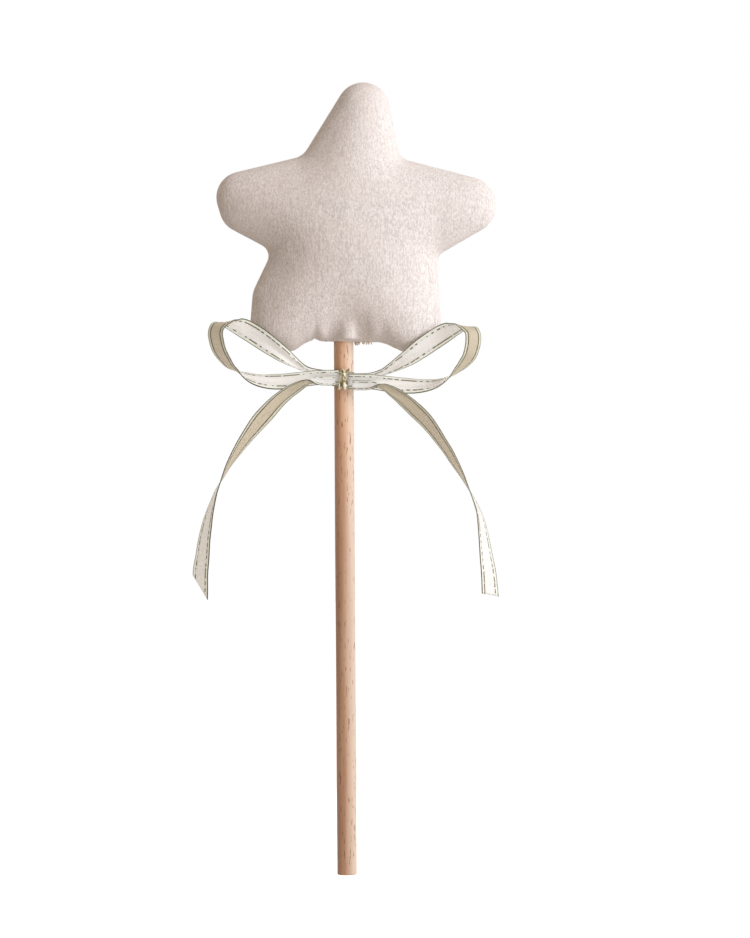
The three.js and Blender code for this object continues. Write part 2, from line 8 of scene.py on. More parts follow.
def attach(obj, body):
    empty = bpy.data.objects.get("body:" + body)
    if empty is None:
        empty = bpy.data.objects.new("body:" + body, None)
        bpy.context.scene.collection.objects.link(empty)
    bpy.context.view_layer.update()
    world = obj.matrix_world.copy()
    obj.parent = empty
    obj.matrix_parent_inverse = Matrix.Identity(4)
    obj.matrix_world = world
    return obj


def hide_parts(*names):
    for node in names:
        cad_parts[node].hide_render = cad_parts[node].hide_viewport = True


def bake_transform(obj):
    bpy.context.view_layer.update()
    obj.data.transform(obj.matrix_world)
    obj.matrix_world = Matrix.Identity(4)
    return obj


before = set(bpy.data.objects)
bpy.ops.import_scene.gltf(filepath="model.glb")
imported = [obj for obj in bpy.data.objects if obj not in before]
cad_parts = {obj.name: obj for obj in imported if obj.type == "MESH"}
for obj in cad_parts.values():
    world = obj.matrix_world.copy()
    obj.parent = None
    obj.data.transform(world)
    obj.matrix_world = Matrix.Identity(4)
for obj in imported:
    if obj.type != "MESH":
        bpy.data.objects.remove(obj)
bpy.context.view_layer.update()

# Sizes in millimetres, in the frame of the CAD part
MM = 0.001
NECK_Z = 216.5
BOW_Z = 201.4
DOWEL_RADIUS = 4.0
DOWEL_LENGTH = 262.0
WRAP_OUTER = 4.7
RIBBON_WIDTH = 8.2

# Camera: level with the middle of the picture, far back, with the small roll of the photograph
VIEW_CENTRE = (12.4, 164.6)
VIEW_HEIGHT = 380.8
VIEW_DISTANCE = 1600.0
VIEW_ROLL = 0.00652
SENSOR_WIDTH = 36.0

lens = bpy.data.cameras.new("camera")
lens.sensor_width = SENSOR_WIDTH
lens.lens = SENSOR_WIDTH * VIEW_DISTANCE / VIEW_HEIGHT
lens.clip_end = 50.0
camera = bpy.data.objects.new("camera", lens)
bpy.context.scene.collection.objects.link(camera)
cosine, sine = math.cos(VIEW_ROLL), math.sin(VIEW_ROLL)
camera.matrix_world = Matrix((
    (cosine, sine, 0, VIEW_CENTRE[0] * MM),
    (0, 0, -1, -VIEW_DISTANCE * MM),
    (-sine, cosine, 0, VIEW_CENTRE[1] * MM),
    (0, 0, 0, 1),
))
bpy.context.scene.camera = camera


# Shader helpers
def rgb(red, green, blue):
    def linear(value):
        value = value / 255
        return value / 12.92 if value <= 0.04045 else ((value + 0.055) / 1.055) ** 2.4
    return (linear(red), linear(green), linear(blue), 1.0)


def node(tree, kind, inputs=(), **settings):
    made = tree.nodes.new("ShaderNode" + kind)
    for key, value in settings.items():
        setattr(made, key, value)
    for key, value in dict(inputs).items():
        if isinstance(value, bpy.types.NodeSocket):
            tree.links.new(value, made.inputs[key])
        else:
            made.inputs[key].default_value = value
    return made


def calc(tree, operation, a, b=0.0):
    return node(tree, "Math", {0: a, 1: b}, operation=operation).outputs[0]


def ramp(tree, value, low, high, to_low=0.0, to_high=1.0):
    inputs = {"Value": value, "From Min": low, "From Max": high, "To Min": to_low, "To Max": to_high}
    return node(tree, "MapRange", inputs, interpolation_type="SMOOTHSTEP").outputs[0]


def mixed(tree, share, a, b):
    return node(tree, "Mix", {0: share, 6: a, 7: b}, data_type="RGBA").outputs[2]


def grain(tree, stretch, scale, detail=2.0, roughness=0.5, offset=(0, 0, 0)):
    """Noise in the object's own frame, stretched by a factor along each axis."""
    place = node(tree, "TexCoord").outputs["Object"]
    moved = node(tree, "Mapping", {"Vector": place, "Scale": stretch, "Location": offset}).outputs[0]
    inputs = {"Vector": moved, "Scale": scale, "Detail": detail, "Roughness": roughness}
    return node(tree, "TexNoise", inputs).outputs[0]


def bump(tree, height, strength, distance, under=None):
    inputs = {"Height": height, "Strength": strength, "Distance": distance}
    if under is not None:
        inputs["Normal"] = under
    return node(tree, "Bump", inputs).outputs[0]


def material(name):
    made = bpy.data.materials.new(name)
    made.use_nodes = True
    tree = made.node_tree
    surface = next(n for n in tree.nodes if n.type == "BSDF_PRINCIPLED")
    return made, tree, surface


def link(tree, surface, **sockets):
    for key, value in sockets.items():
        socket = surface.inputs[key.replace("_", " ")]
        if isinstance(value, bpy.types.NodeSocket):
            tree.links.new(value, socket)
        else:
            socket.default_value = value


def linen_material():
    made, tree, surface = material("linen")
    threads = grain(tree, (1.0, 0.6, 0.08), 1500.0, 1.0, 0.5)
    slub = grain(tree, (1.0, 1.0, 0.35), 1900.0, 2.0, 0.6, (0.1, 0.3, 0.2))
    nubs = grain(tree, (1.0, 1.0, 0.6), 3200.0, 2.0, 0.6, (0.2, 0.4, 0.1))
    cloud = grain(tree, (1.0, 1.0, 1.0), 55.0, 2.0, 0.5)
    fine = calc(tree, "ADD", calc(tree, "MULTIPLY", slub, 0.45), calc(tree, "MULTIPLY", nubs, 0.4))
    weave = calc(tree, "ADD", calc(tree, "MULTIPLY", threads, 0.15), fine)
    tone = mixed(tree, ramp(tree, weave, 0.38, 0.62), rgb(196, 189, 188), rgb(232, 229, 230))
    tone = mixed(tree, ramp(tree, cloud, 0.35, 0.7, 0.0, 0.2), tone, rgb(222, 213, 208))
    first = bump(tree, threads, 0.15, 0.0003)
    second = bump(tree, fine, 0.45, 0.0003, first)
    link(tree, surface, Base_Color=tone, Roughness=0.95, Specular_IOR_Level=0.1, Normal=second)
    link(tree, surface, Sheen_Weight=0.15, Sheen_Roughness=0.6)
    return made


def beech_material():
    made, tree, surface = material("beech")
    figure = grain(tree, (1.0, 1.0, 0.04), 420.0, 3.0, 0.55)
    fibre = grain(tree, (1.0, 1.0, 0.03), 2600.0, 2.0, 0.5)
    fleck = grain(tree, (1.0, 1.0, 0.14), 1500.0, 2.0, 0.6, (0.3, 0.1, 0.2))
    tone = mixed(tree, ramp(tree, figure, 0.3, 0.7), rgb(204, 158, 126), rgb(230, 194, 164))
    tone = mixed(tree, ramp(tree, fibre, 0.4, 0.75, 0.0, 0.3), tone, rgb(196, 150, 114))
    marks = ramp(tree, fleck, 0.625, 0.675, 0.0, 0.85)
    place = node(tree, "SeparateXYZ", {0: node(tree, "TexCoord").outputs["Object"]})
    girth, height = place.outputs[0], place.outputs[2]
    tone = mixed(tree, ramp(tree, height, 0.11, 0.21, 0.46, 0.0), tone, rgb(120, 84, 62))
    # Painted highlight: the dowel's right side, where the key lamp falls, turns paler and less saturated
    tone = mixed(tree, ramp(tree, girth, -0.001, 0.0036, 0.0, 0.65), tone, rgb(206, 194, 180))
    # Painted shade: the dowel's left side, turned away from the lamps, is darkened
    tone = mixed(tree, ramp(tree, girth, -0.004, -0.001, 0.4, 0.0), tone, rgb(146, 104, 80))
    tone = mixed(tree, marks, tone, rgb(116, 74, 50))
    rough = ramp(tree, figure, 0.2, 0.8, 0.46, 0.58)
    raised = bump(tree, fibre, 0.25, 0.00015)
    link(tree, surface, Base_Color=tone, Roughness=rough, Normal=raised, Specular_IOR_Level=0.6)
    return made


def ribbon_material(name, face, margin, gaps, hem, thin, lit, glow, specks=0.0):
    """Thin ribbon with a pale margin outside a dark line near each edge.

    gaps: level below which the line breaks off; hem: strength of the dark edge; thin: share of the light
    that comes through; lit: share of the colour that the light shows; glow: light of its own, which
    stands in for a white surround; specks: strength of the flecks.
    """
    made, tree, surface = material(name)
    place = node(tree, "UVMap", uv_map="strip").outputs[0]
    parts = node(tree, "SeparateXYZ", {0: place})
    across, along = parts.outputs[0], parts.outputs[1]
    edge = calc(tree, "ABSOLUTE", calc(tree, "SUBTRACT", calc(tree, "MULTIPLY", across, 2.0), 1.0))
    weave = grain(tree, (1.0, 1.0, 1.0), 2400.0, 2.0, 0.6)
    crease = grain(tree, (1.0, 1.0, 1.0), 330.0, 2.0, 0.5)
    uneven = grain(tree, (1.0, 1.0, 1.0), 240.0, 2.0, 0.6, (0.1, 0.2, 0.3))
    pale = tuple(0.5 * c + 0.5 for c in face[:3]) + (1.0,)
    tone = mixed(tree, ramp(tree, weave, 0.35, 0.7, 0.0, 0.4), face, pale)
    tone = mixed(tree, ramp(tree, edge, 0.68, 0.74), tone, margin)
    olive = mixed(tree, ramp(tree, uneven, 0.4, 0.6), rgb(74, 68, 52), rgb(112, 104, 66))
    if specks:
        fleck = grain(tree, (1.0, 1.0, 1.0), 620.0, 2.0, 0.6, (0.4, 0.1, 0.2))
        tone = mixed(tree, ramp(tree, fleck, 0.46, 0.54, 0.0, specks), tone, rgb(206, 194, 134))
        tone = mixed(tree, ramp(tree, fleck, 0.54, 0.6, 0.0, specks), tone, olive)
    off = calc(tree, "ABSOLUTE", calc(tree, "SUBTRACT", edge, 0.65))
    line = ramp(tree, off, 0.035, 0.09, 1.0, 0.0)
    beat = calc(tree, "SINE", calc(tree, "MULTIPLY", along, 2.4))
    broken = calc(tree, "ADD", beat, ramp(tree, uneven, 0.35, 0.65, -1.3, 1.3))
    dash = ramp(tree, broken, gaps, gaps + 0.9)
    drawn = calc(tree, "MULTIPLY", calc(tree, "MULTIPLY", line, dash), 0.92)
    tone = mixed(tree, drawn, tone, olive)
    border = ramp(tree, edge, 0.9, 0.95, 0.0, hem)
    tone = mixed(tree, border, tone, rgb(92, 89, 76))
    ribs = calc(tree, "SINE", calc(tree, "MULTIPLY", along, 12.0))
    first = bump(tree, crease, 0.3, 0.0005)
    ribbed = calc(tree, "ADD", weave, calc(tree, "MULTIPLY", ribs, 0.12))
    second = bump(tree, ribbed, 0.25, 0.0002, first)
    base = mixed(tree, lit, (0.0, 0.0, 0.0, 1.0), tone)
    link(tree, surface, Base_Color=base, Roughness=0.5, Specular_IOR_Level=0.3, Normal=second)
    # Painted light: the ribbon glows with its own tone at the glow strength, in both halves of the mix,
    # standing in for light from a white surround
    link(tree, surface, Sheen_Weight=0.15, Sheen_Roughness=0.4, Emission_Color=tone, Emission_Strength=glow)
    through = node(tree, "BsdfTranslucent", {"Color": base, "Normal": second}).outputs[0]
    painted_glow = node(tree, "Emission", {"Color": tone, "Strength": glow}).outputs[0]
    through = node(tree, "AddShader", {0: through, 1: painted_glow}).outputs[0]
    both = node(tree, "MixShader", {0: thin, 1: surface.outputs[0], 2: through}).outputs[0]
    output = next(n for n in tree.nodes if n.type == "OUTPUT_MATERIAL")
    tree.links.new(both, output.inputs["Surface"])
    return made


def plain_material(name, colour, roughness, scale, depth):
    """One colour with a fine mottle in tone and surface."""
    made, tree, surface = material(name)
    mottle = grain(tree, (1.0, 1.0, 1.0), scale, 3.0, 0.6)
    darker = tuple(0.8 * c for c in colour[:3]) + (1.0,)
    tone = mixed(tree, ramp(tree, mottle, 0.3, 0.75, 0.0, 0.5), colour, darker)
    link(tree, surface, Base_Color=tone, Roughness=roughness, Normal=bump(tree, mottle, 0.3, depth))
    return made


LINEN = linen_material()
BEECH = beech_material()
RIBBON_WHITE = ribbon_material(
    "ribbon_white", face=rgb(245, 247, 250), margin=rgb(243, 245, 238),
    gaps=-0.7, hem=1.0, thin=0.5, lit=0.95, glow=0.2,
)
RIBBON_TAN = ribbon_material(
    "ribbon_tan", face=rgb(204, 194, 172), margin=rgb(227, 227, 212),
    gaps=-2.7, hem=0.6, thin=0.5, lit=0.9, glow=0.08,
)
RIBBON_KNOT = ribbon_material(
    "ribbon_knot", face=rgb(246, 244, 236), margin=rgb(240, 236, 212),
    gaps=-0.4, hem=0.7, thin=0.3, lit=0.95, glow=0.08, specks=0.9,
)
THREAD = plain_material("thread", rgb(222, 208, 192), roughness=0.8, scale=2500.0, depth=0.0001)
GLUE = plain_material("glue", rgb(238, 228, 198), roughness=0.4, scale=500.0, depth=0.0002)
CAPSULE = plain_material("capsule", rgb(240, 239, 236), roughness=0.35, scale=900.0, depth=0.00005)
PELLET = plain_material("pellet", rgb(214, 214, 212), roughness=0.3, scale=1200.0, depth=0.00005)


# Mesh helpers
def mesh_object(name, points, faces, materials, slots=None, strip=None):
    mesh = bpy.data.meshes.new(name)
    mesh.from_pydata((np.asarray(points) * MM).tolist(), [], faces)
    for made in materials:
        mesh.materials.append(made)
    mesh.polygons.foreach_set("use_smooth", [True] * len(faces))
    if slots is not None:
        mesh.polygons.foreach_set("material_index", slots)
    if strip is not None:
        layer = mesh.uv_layers.new(name="strip")
        corners = np.empty(len(mesh.loops), int)
        mesh.loops.foreach_get("vertex_index", corners)
        layer.data.foreach_set("uv", np.asarray(strip)[corners].ravel())
    mesh.update()
    obj = bpy.data.objects.new(name, mesh)
    bpy.context.scene.collection.objects.link(obj)
    return obj


def unit(vectors):
    return vectors / np.linalg.norm(vectors, axis=-1, keepdims=True)


def eased(values, passes):
    """Values smoothed along their row, with the ends kept."""
    values = values.copy()
    for _ in range(passes):
        values[1:-1] = 0.25 * values[:-2] + 0.5 * values[1:-1] + 0.25 * values[2:]
    return values


def ripple(points, wavelength, seed):
    """Smooth noise from -1 to 1 at each point."""
    return np.array([noise.noise(Vector(p) / wavelength + Vector((seed, seed * 0.7, -seed))) for p in points])


# Ribbon strands. Each station has its place across the knot, in front of the wrap and above the knot,
# its roll in degrees about its own line, and the share of the width that shows ungathered.
LOOP_LEFT = [
    (-2.1, 1.9, 0.4, -90, 0.72), (-10.5, 1.9, 0.3, -90, 0.72), (-17.8, 1.9, -0.5, -84, 0.75),
    (-25.9, 1.9, -1.2, -66, 0.82), (-33.2, 2.4, -0.9, -42, 0.92), (-38.9, 3.2, 0.7, -20, 1),
    (-43.2, 4.6, 2.9, 3, 1), (-45.6, 6.3, 4.7, 17, 1), (-47.9, 8.4, 7.7, 28, 1), (-50.0, 10.7, 11.5, 38, 1),
    (-50.9, 12.4, 14.8, 44, 1), (-51.3, 13.3, 18.1, 48, 1), (-50.7, 13.3, 20.5, 46, 1),
    (-49.1, 12.2, 22.1, 25, 1), (-46.7, 9.3, 22.8, -7, 1), (-43.7, 6.4, 21.8, -41, 1),
    (-39.8, 5.3, 20.1, -74, 1), (-34.5, 5.7, 16.8, -80, 1), (-29.7, 6.2, 13.4, -78, 0.95),
    (-24.6, 5.6, 9.7, -80, 0.8), (-20.7, 3.8, 6.9, -72, 0.56), (-17.4, 2.1, 4.8, -52, 0.4),
    (-14.4, 1.1, 3.3, -42, 0.33), (-9.6, 0.8, 2.1, -65, 0.33), (-2.1, 0.8, 1.9, -82, 0.36),
]
LOOP_RIGHT = [
    (2.1, 1.9, -1.3, 90, 0.72), (10.6, 1.9, -1.5, 90, 0.72), (16.7, 1.9, -2.3, 84, 0.75),
    (23.6, 1.9, -3.1, 66, 0.82), (30.9, 2.4, -3.4, 44, 0.9), (37.8, 3.2, -2.4, 22, 1),
    (43.0, 4.6, 0.1, 0, 1), (46.1, 6.3, 2.7, -15, 1), (48.5, 8.2, 5.2, -25, 1), (50.7, 10.4, 8.3, -36, 1),
    (51.7, 12.0, 11.2, -44, 1), (52.2, 13.0, 14.1, -49, 1), (52.2, 13.4, 16.5, -51, 1),
    (51.7, 13.1, 18.3, -44, 1), (50.1, 11.8, 19.8, -23, 1), (47.4, 9.2, 20.6, 8, 1),
    (44.3, 6.6, 19.6, 43, 1), (40.7, 5.6, 17.8, 72, 1), (36.2, 5.8, 15.0, 80, 1),
    (31.2, 6.3, 11.6, 78, 0.98), (26.3, 5.7, 8.1, 80, 0.82), (22.0, 4.0, 5.5, 76, 0.64),
    (18.4, 2.2, 3.5, 60, 0.44), (15.4, 1.2, 2.1, 44, 0.33), (10.7, 0.8, 0.7, 65, 0.33),
    (2.1, 0.8, 0.5, 82, 0.36),
]
TAIL_LEFT = [
    (-3.4, 3.1, -1.0, -90, 0.48), (-8.4, 3.3, -1.0, -90, 0.47), (-11.6, 4.2, -0.9, -72, 0.4),
    (-13.9, 4.8, -1.3, 15, 0.36), (-16.2, 5.0, -2.2, 62, 0.44), (-19.2, 5.0, -3.8, 66, 0.6),
    (-22.6, 5.0, -5.9, 62, 0.74), (-26.8, 5.2, -9.3, 57, 0.86),
    (-30.8, 5.3, -13.5, 54, 0.95), (-34.1, 5.3, -17.1, 50, 1), (-37.4, 5.2, -21.2, 41, 1),
    (-40.7, 5.1, -25.6, 30, 1), (-43.7, 5.0, -30.1, 21, 1), (-46.6, 4.8, -34.9, 12, 1),
    (-49.4, 4.5, -40.6, 1, 1), (-51.7, 4.2, -45.5, -8, 1), (-53.2, 4.0, -49.9, -15, 1),
    (-54.6, 3.8, -54.4, -23, 1), (-55.7, 3.6, -59.2, -31, 1), (-56.8, 3.4, -65.3, -38, 1),
    (-57.5, 3.2, -71.4, -45, 1), (-58.2, 3.1, -77.5, -50, 1), (-58.5, 3.0, -84.2, -53, 1),
]
TAIL_RIGHT = [
    (3.4, 3.1, -2.9, 90, 0.48), (8.6, 3.3, -3.0, 90, 0.47), (11.7, 4.2, -2.7, 72, 0.4),
    (14.0, 4.8, -2.9, -15, 0.36), (16.2, 5.0, -3.6, -62, 0.44), (19.0, 5.0, -5.2, -66, 0.6),
    (22.0, 5.0, -7.2, -62, 0.74), (25.6, 5.2, -10.2, -58, 0.86),
    (29.2, 5.3, -13.5, -54, 0.95), (32.9, 5.3, -17.2, -44, 1), (36.1, 5.2, -21.3, -36, 1),
    (39.1, 5.1, -25.7, -30, 1), (41.9, 5.0, -29.8, -25, 1), (44.5, 4.8, -34.3, -20, 1),
    (47.3, 4.5, -39.2, -12, 1), (49.7, 4.2, -44.1, -2, 1), (52.2, 4.0, -49.4, 6, 1),
    (54.1, 3.8, -54.3, 13, 1), (55.3, 3.6, -59.6, 23, 1), (56.3, 3.4, -66.1, 33, 1),
    (57.1, 3.2, -72.6, 41, 1), (58.0, 3.1, -79.1, 48, 1), (58.6, 3.0, -88.0, 56, 1),
]
TAIL_CUT_LEFT = -9.5  # how much longer one edge of the cut end is than the other
TAIL_CUT_RIGHT = 2.0
TAIL_CUT_RUN = 13.0  # stretch over which the two edges part
STRAND_STEPS = 9  # sections from one station to the next

# Pleats, frill and cupping of the strip
PLEATS = 1.6 * math.pi  # phase of the pleats from the middle of the strip to an edge
PLEAT_EASE = 0.75
PLEAT_WANDER = 0.8
FRILL = 0.12
WANDER_LENGTH = 9.0
CUP = 0.22
CUP_MIDDLE = 0.4
CUP_LENGTH = 22.0

# Across the strip from edge to edge: place, and half of the thickness there
SECTION = [
    (-1.0, 0.12), (-0.985, 0.2), (-0.94, 0.22), (-0.9, 0.13), (-0.8, 0.11), (-0.68, 0.11), (-0.62, 0.15),
    (-0.56, 0.11), (-0.42, 0.11), (-0.28, 0.11), (-0.14, 0.11), (0.0, 0.11), (0.14, 0.11), (0.28, 0.11),
    (0.42, 0.11), (0.56, 0.11), (0.62, 0.15), (0.68, 0.11), (0.8, 0.11), (0.9, 0.13), (0.94, 0.22),
    (0.985, 0.2), (1.0, 0.12),
]


def smooth_line(stations, steps):
    """Centripetal spline through the stations: places, tangents, rolls in radians and width shares."""
    table = np.array(stations, float)
    p = np.column_stack([table[:, 0], -WRAP_OUTER - table[:, 1], BOW_Z + table[:, 2]])
    p = np.vstack([2 * p[0] - p[1], p, 2 * p[-1] - p[-2]])
    places, tangents, where = [], [], []
    for i in range(1, len(p) - 2):
        d0, d1, d2 = (np.linalg.norm(p[k + 1] - p[k]) ** 0.5 for k in (i - 1, i, i + 1))
        a, b, c, d = p[i - 1:i + 3]
        t1 = ((b - a) / d0 - (c - a) / (d0 + d1) + (c - b) / d1) * d1
        t2 = ((c - b) / d1 - (d - b) / (d1 + d2) + (d - c) / d2) * d1
        c2 = -3 * b + 3 * c - 2 * t1 - t2
        c3 = 2 * b - 2 * c + t1 + t2
        last = i == len(p) - 3
        for t in np.linspace(0, 1, steps + 1)[:None if last else -1]:
            places.append(b + t1 * t + c2 * t ** 2 + c3 * t ** 3)
            tangents.append(t1 + 2 * c2 * t + 3 * c3 * t ** 2)
            where.append(i - 1 + t)
    index = np.arange(len(table))
    rolls = eased(np.radians(np.interp(where, index, table[:, 3])), 2 * steps)
    shares = eased(np.interp(where, index, table[:, 4]), 2 * steps)
    return np.array(places), unit(np.array(tangents)), rolls, shares


def strip_mesh(
    name, places, across, normals, tangents, shares, seed, white_first, slant=0.0, ring=False, skew=0.0,
):
    """Two-sided ribbon along a line, pleated where its share is below 1, with a bead along each edge."""
    count = len(places)
    along = np.concatenate([[0], np.cumsum(np.linalg.norm(np.diff(places, axis=0), axis=1))])
    columns = len(SECTION)
    stretch = np.column_stack([along, 0 * along, 0 * along])
    wander = ripple(stretch, WANDER_LENGTH, seed)
    cup = CUP * ripple(stretch, CUP_LENGTH, seed + 5)
    points, strip = [], []
    for k in range(count):
        wide = RIBBON_WIDTH * shares[k]
        pleat = wide / PLEATS * math.sqrt(max(1 / shares[k] - 1, 0)) * PLEAT_EASE
        run = max(0.0, 1 - (along[-1] - along[k]) / TAIL_CUT_RUN) if slant else 0.0
        for face in (1, -1):
            for place, half in SECTION if face == 1 else SECTION[::-1]:
                phase = PLEATS * place + PLEAT_WANDER * wander[k] + seed + skew * along[k]
                lift = pleat * math.sin(phase) + cup[k] * (place ** 2 - CUP_MIDDLE)
                frill = FRILL * wander[k] * place
                offset = lift + frill + face * half
                lean = 0.5 * slant * run * place
                point = places[k] + across[k] * (0.5 * wide * place)
                points.append(point + normals[k] * offset + tangents[k] * lean)
                strip.append((0.5 + 0.5 * place, along[k] + lean))
    loop = 2 * columns
    faces, slots = [], []
    first, second = (0, 1) if white_first else (1, 0)
    for k in range(count if ring else count - 1):
        following = (k + 1) % count
        for i in range(loop):
            j = (i + 1) % loop
            faces.append((k * loop + i, following * loop + i, following * loop + j, k * loop + j))
            slots.append(first if i < columns else second)
    if not ring:
        for k, turn in ((0, 1), (count - 1, -1)):
            for i in range(columns - 1):
                cap = (k * loop + i, k * loop + i + 1, k * loop + loop - 2 - i, k * loop + loop - 1 - i)
                faces.append(cap[::turn])
                slots.append(first)
    return mesh_object(name, points, faces, [RIBBON_WHITE, RIBBON_TAN], slots, strip)


def strand(name, stations, seed, white_first, slant=0.0):
    places, tangents, rolls, shares = smooth_line(stations, STRAND_STEPS)
    back = np.array([0.0, 1.0, 0.0])
    side = unit(np.cross(tangents, back))
    across = np.cos(rolls)[:, None] * back + np.sin(rolls)[:, None] * side
    across = unit(across - tangents * np.sum(across * tangents, axis=1, keepdims=True))
    normals = np.cross(tangents, across)
    piece = strip_mesh(name, places, across, normals, tangents, shares, seed, white_first, slant)
    return piece, places


for side, stations, seed, white_first in (("left", LOOP_LEFT, 1.3, False), ("right", LOOP_RIGHT, 4.1, True)):
    loop_piece, loop_line = strand(f"bow_loop_{side}", stations, seed, white_first)
    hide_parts(f"ribbon_loop_{side}")
    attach(loop_piece, "wand")

for side, stations, seed, white_first, slant in (
    ("left", TAIL_LEFT, 7.7, False, TAIL_CUT_LEFT),
    ("right", TAIL_RIGHT, 9.2, True, TAIL_CUT_RIGHT),
):
    tail_piece, tail_line = strand(f"bow_tail_{side}", stations, seed, white_first, slant)
    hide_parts(f"ribbon_tail_{side}")
    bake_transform(tail_piece)


# Ribbon wrap round the dowel, a little aslant
WRAP_SECTIONS = 96
WRAP_SHARE = 0.76
WRAP_RADIUS = DOWEL_RADIUS + 0.55
WRAP_LOW = 0.3
WRAP_SLANT = 0.5


def wrap_piece():
    turns = np.linspace(0, 2 * math.pi, WRAP_SECTIONS, endpoint=False)
    outward = np.column_stack([np.sin(turns), -np.cos(turns), 0 * turns])
    heights = BOW_Z - WRAP_LOW - WRAP_SLANT * np.sin(turns)
    places = outward * WRAP_RADIUS + np.column_stack([0 * turns, 0 * turns, heights])
    tangents = unit(np.roll(places, -1, axis=0) - np.roll(places, 1, axis=0))
    upward = unit(np.cross(outward, tangents))
    shares = np.full(WRAP_SECTIONS, WRAP_SHARE)
    return strip_mesh("bow_wrap", places, upward, -outward, tangents, shares, 2.2, False, ring=True)


wrap = wrap_piece()
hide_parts("ribbon_wrap")
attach(wrap, "wand")


# Knot: the ribbon drawn tight over the strands, from below to above
KNOT_SECTIONS = 72
KNOT_FORWARD = 2.25
KNOT_LOW = 0.45
KNOT_LEAN = 0.35
KNOT_HALF_DEPTH = 1.85
KNOT_HALF_HEIGHT = 3.75
KNOT_POWER = 0.8
KNOT_CRUSH = 0.05
KNOT_SHARE = 0.43
KNOT_FLARE = 0.05
KNOT_SKEW = 0.5


def knot_piece():
    angles = np.linspace(math.pi, 3 * math.pi, KNOT_SECTIONS, endpoint=False)
    wobble = np.column_stack([np.cos(angles), np.sin(angles), 0 * angles])
    crush = 1 + KNOT_CRUSH * ripple(wobble * 3, 1.4, 3.3)
    middle = np.array([0.0, -WRAP_OUTER - KNOT_FORWARD, BOW_Z - KNOT_LOW])
    places = middle + np.column_stack([
        KNOT_LEAN * np.sin(angles),
        -KNOT_HALF_DEPTH * crush * np.sign(np.cos(angles)) * np.abs(np.cos(angles)) ** KNOT_POWER,
        KNOT_HALF_HEIGHT * crush * np.sin(angles),
    ])
    tangents = unit(np.roll(places, -1, axis=0) - np.roll(places, 1, axis=0))
    sideways = np.array([1.0, 0.0, 0.0])
    across = unit(sideways - tangents * (tangents @ sideways)[:, None])
    normals = np.cross(tangents, across)
    shares = KNOT_SHARE + KNOT_FLARE * np.sin(angles) ** 2
    piece = strip_mesh(
        "bow_knot", places, across, normals, tangents, shares, 6.4, False, ring=True, skew=KNOT_SKEW,
    )
    piece.data.materials[0] = RIBBON_KNOT
    piece.data.materials[1] = RIBBON_KNOT
    return piece


knot = knot_piece()
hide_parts("ribbon_knot")
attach(knot, "wand")


# Dowel, turned with softened ends
DOWEL_SIDES = 96
DOWEL_ROWS = 90
DOWEL_CORNER = 0.6
CORNER_TURNS = np.radians(np.linspace(15, 90, 6))
DOWEL_WAVE = 0.02
DOWEL_WAVELENGTH = 17.0


def dowel_piece():
    sides, corner = DOWEL_SIDES, DOWEL_CORNER
    inner, upper = DOWEL_RADIUS - corner, DOWEL_LENGTH - corner
    profile = [(0.0, 0.0), (1.5, 0.0), (inner, 0.0)]
    profile.extend((inner + corner * math.sin(t), corner - corner * math.cos(t)) for t in CORNER_TURNS)
    profile.extend((DOWEL_RADIUS, height) for height in np.linspace(corner, upper, DOWEL_ROWS)[1:])
    profile.extend((inner + corner * math.cos(t), upper + corner * math.sin(t)) for t in CORNER_TURNS)
    profile.append((0.0, DOWEL_LENGTH))
    angles = np.linspace(0, 2 * math.pi, sides, endpoint=False)
    points = []
    for radius, height in profile:
        if radius == 0.0:
            points.append((0.0, 0.0, height))
            continue
        if radius == DOWEL_RADIUS:
            radius = radius + (DOWEL_WAVE * math.sin(height / DOWEL_WAVELENGTH) - DOWEL_WAVE)
        points.extend((radius * math.cos(a), radius * math.sin(a), height) for a in angles)
    faces = [(0, 1 + (i + 1) % sides, 1 + i) for i in range(sides)]
    rows = len(profile) - 2
    for k in range(rows - 1):
        for i in range(sides):
            a, b = 1 + k * sides + i, 1 + k * sides + (i + 1) % sides
            faces.append((a, b, b + sides, a + sides))
    top = len(points) - 1
    start = 1 + (rows - 1) * sides
    faces.extend((start + i, start + (i + 1) % sides, top) for i in range(sides))
    return mesh_object("wooden_dowel", points, faces, [BEECH])


dowel = dowel_piece()
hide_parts("dowel")
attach(dowel, "wand")


# Star: corner circles of its outline as place across, place above the neck, radius and whether it is a valley
STAR_CORNERS = [
    (-13.0, -4.8, 5.0, True), (14.0, -8.5, 8.0, True), (26.0, 3.0, 7.6, False), (28.9, 6.0, 10.7, False),
    (43.1, 31.6, 5, True), (50.5, 54.9, 11.6, False), (27.6, 78.2, 5, True), (8.5, 94.2, 10.8, False),
    (-21.2, 82.4, 8.1, True), (-40.8, 58.7, 10.5, False), (-39.8, 54.6, 10.3, False),
    (-35.3, 34.8, 5.0, True), (-24.5, 17.0, 12.5, False), (-27.4, 6.7, 10.5, False),
    (-22.5, 3.0, 6.9, False),
]
STAR_CENTRE = np.array([3.3, 44.0])
STAR_HEIGHT = 19.7
CROWN_POWER = 0.47
SEAM_HALF_GAP = 0.12
RIM_SPACING = 1.0

# Hem beside the dowel: how high it reaches, how ragged it is, and a notch in it on the left
HEM_RISE = 8.0
HEM_RAGGED = 0.3
NOTCH_X = -11.4
NOTCH_WIDTH = 0.9
NOTCH_HEIGHT = 1.3

